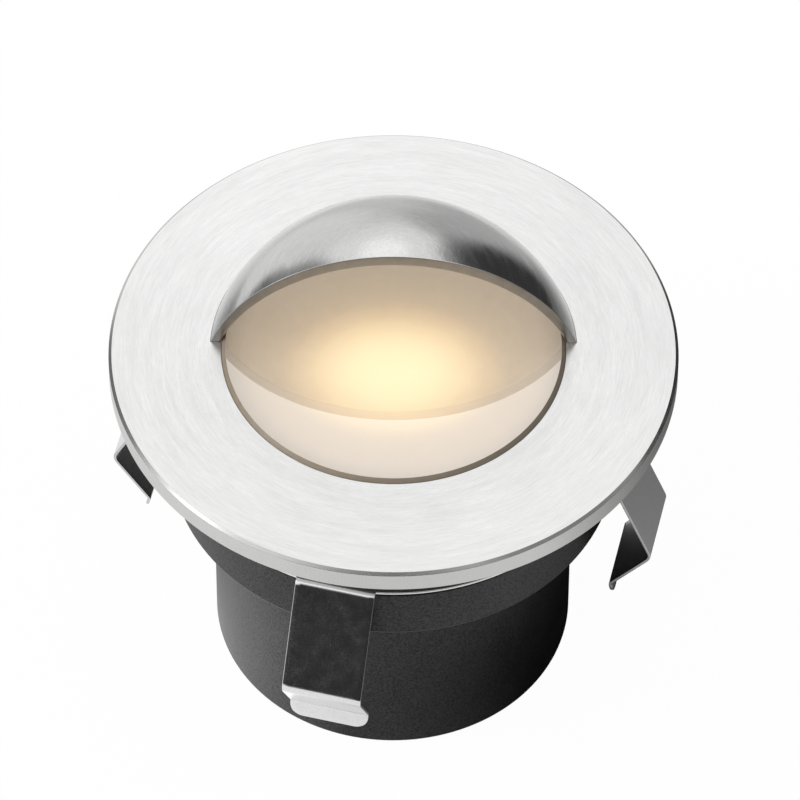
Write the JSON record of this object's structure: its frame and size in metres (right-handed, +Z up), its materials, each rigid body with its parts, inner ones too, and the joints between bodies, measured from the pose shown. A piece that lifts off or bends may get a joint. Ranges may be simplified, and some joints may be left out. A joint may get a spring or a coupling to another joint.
{
  "type": "recessed deck light",
  "caption": "Recessed deck light with an eyelid hood over half of its glass lens, a flat steel trim ring and spring clips that grip the edge of the hole.",
  "frame": {"origin": "centre of the can's flat bottom face, on the axis of the ring, the lens and the can", "axes": "+Z up along the light's axis, out of the deck; the hood stands over the +Y half of the lens and opens toward -Y; +X to the right seen from the open side"},
  "size_m": [0.0761, 0.0768, 0.0729],
  "materials": {
    "ring_steel": "turned stainless steel with fine circular brushing",
    "hood_steel": "pressed stainless steel, brushed round its dome",
    "spring_steel": "bright rolled spring strip",
    "plate_steel": "bright rolled sheet",
    "screw_steel": "plain stainless steel",
    "lens_glass": "clear toughened glass with a ground lower face",
    "opal_plastic": "opal diffusing sheet",
    "gasket_silicone": "dark silicone",
    "seal_rubber": "black rubber",
    "neck_plastic": "black moulded plastic",
    "housing_plastic": "charcoal moulded plastic with a fine grain",
    "reflector_plastic": "white moulded plastic",
    "led_board_mask": "aluminium-core board under a white mask",
    "led_phosphor": "yellow phosphor in silicone",
    "sink_aluminium": "turned aluminium",
    "driver_board_mask": "green masked glass-epoxy board",
    "capacitor_sleeve": "dark blue shrunk sleeve",
    "inductor_ferrite": "dark grey ferrite",
    "chip_epoxy": "black moulded epoxy",
    "terminal_plastic": "green moulded plastic",
    "lead_red": "red insulation",
    "lead_black": "black insulation",
    "gland_nylon": "black nylon"
  },
  "bodies": {
    "light_body": {"trim_ring": "ring_steel", "eyelid_hood": "hood_steel", "lens_glass": "lens_glass", "lens_gasket": "gasket_silicone", "neck_ring": "neck_plastic", "neck_o_ring": "seal_rubber", "clip_plate": "plate_steel", "housing": "housing_plastic", "body_screw_1": "screw_steel", "body_screw_2": "screw_steel", "body_screw_3": "screw_steel", "body_screw_4": "screw_steel", "diffuser": "opal_plastic", "reflector": "reflector_plastic", "led_board": "led_board_mask", "led_1": "led_phosphor", "led_2": "led_phosphor", "led_3": "led_phosphor", "led_board_screw_1": "screw_steel", "led_board_screw_2": "screw_steel", "heat_sink": "sink_aluminium", "driver_board": "driver_board_mask", "driver_screw_1": "screw_steel", "driver_screw_2": "screw_steel", "driver_screw_3": "screw_steel", "capacitor": "capacitor_sleeve", "inductor": "inductor_ferrite", "driver_chip": "chip_epoxy", "rectifier": "chip_epoxy", "terminal_block": "terminal_plastic", "lead_plus": "lead_red", "lead_minus": "lead_black", "gland_body": "gland_nylon", "gland_washer": "seal_rubber", "gland_lock_nut": "gland_nylon", "gland_seal": "seal_rubber", "gland_cap": "gland_nylon"},
    "clip_front": {"spring_clip_front": "spring_steel"},
    "clip_right": {"spring_clip_right": "spring_steel"},
    "clip_rear": {"spring_clip_rear": "spring_steel"},
    "clip_left": {"spring_clip_left": "spring_steel"}
  },
  "joints": [
    {"name": "clip_front_flex", "type": "hinge", "parent": "light_body", "child": "clip_front", "pos_m": [-0.0076, -0.03005, 0.0419], "axis": [0.9694, -0.2453, 0], "range_deg": [0, 21.7], "stiffness_Nm_per_rad": 2},
    {"name": "clip_right_flex", "type": "hinge", "parent": "light_body", "child": "clip_right", "pos_m": [0.03024, -0.00681, 0.0419], "axis": [0.2198, 0.9755, 0], "range_deg": [0, 14.5], "stiffness_Nm_per_rad": 2},
    {"name": "clip_rear_flex", "type": "hinge", "parent": "light_body", "child": "clip_rear", "pos_m": [0.00703, 0.03019, 0.0419], "axis": [-0.974, 0.2267, 0], "range_deg": [0, 18.3], "stiffness_Nm_per_rad": 2},
    {"name": "clip_left_flex", "type": "hinge", "parent": "light_body", "child": "clip_left", "pos_m": [-0.03019, 0.00703, 0.0419], "axis": [-0.2267, -0.974, 0], "range_deg": [0, 18.7], "stiffness_Nm_per_rad": 2}
  ]
}
